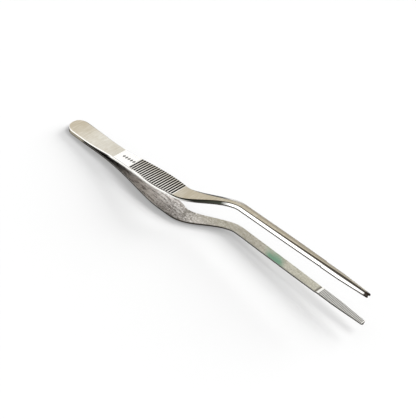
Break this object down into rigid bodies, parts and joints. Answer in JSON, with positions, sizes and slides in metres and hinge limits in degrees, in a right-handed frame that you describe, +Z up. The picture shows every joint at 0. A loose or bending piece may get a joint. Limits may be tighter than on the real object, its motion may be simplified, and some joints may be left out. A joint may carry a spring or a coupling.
{
  "type": "spring tongs",
  "caption": "Long spring tongs for handling small flat items: sprung steel blades welded at the tail, grooved grip, sideways offset, slim bevelled arms and serrated jaws.",
  "frame": {"origin": "under the middle of the whole outline, on the surface that the tongs lie on", "axes": "+X from the welded tail towards the jaws, +Y the side that the arms are offset to, +Z up, out of the surface that the tongs lie on"},
  "size_m": [0.1602, 0.0202, 0.0217],
  "materials": {
    "satin_steel": "satin ground stainless steel with fine brushed lines, brightly burnished along the edges and bevels",
    "weld_metal": "ground weld metal, slightly duller than the blades"
  },
  "bodies": {
    "root": {"upper_blade_tail": "satin_steel", "lower_blade_tail": "satin_steel", "tail_weld": "weld_metal"},
    "upper_blade": {"upper_blade_arm": "satin_steel"},
    "lower_blade": {"lower_blade_arm": "satin_steel"}
  },
  "joints": [
    {"name": "upper_blade_squeeze", "type": "hinge", "parent": "root", "child": "upper_blade", "pos_m": [-0.05323, -0.00429, 0.00476], "axis": [0, 1, 0], "range_deg": [0, 3], "stiffness_Nm_per_rad": 3.2},
    {"name": "lower_blade_squeeze", "type": "hinge", "parent": "root", "child": "lower_blade", "pos_m": [-0.053, -0.00429, 0.00182], "axis": [0, -1, 0], "range_deg": [0, 3], "stiffness_Nm_per_rad": 3.2}
  ],
  "couplings": [
    {"joint": "lower_blade_squeeze", "follows": "upper_blade_squeeze", "ratio": 1}
  ]
}
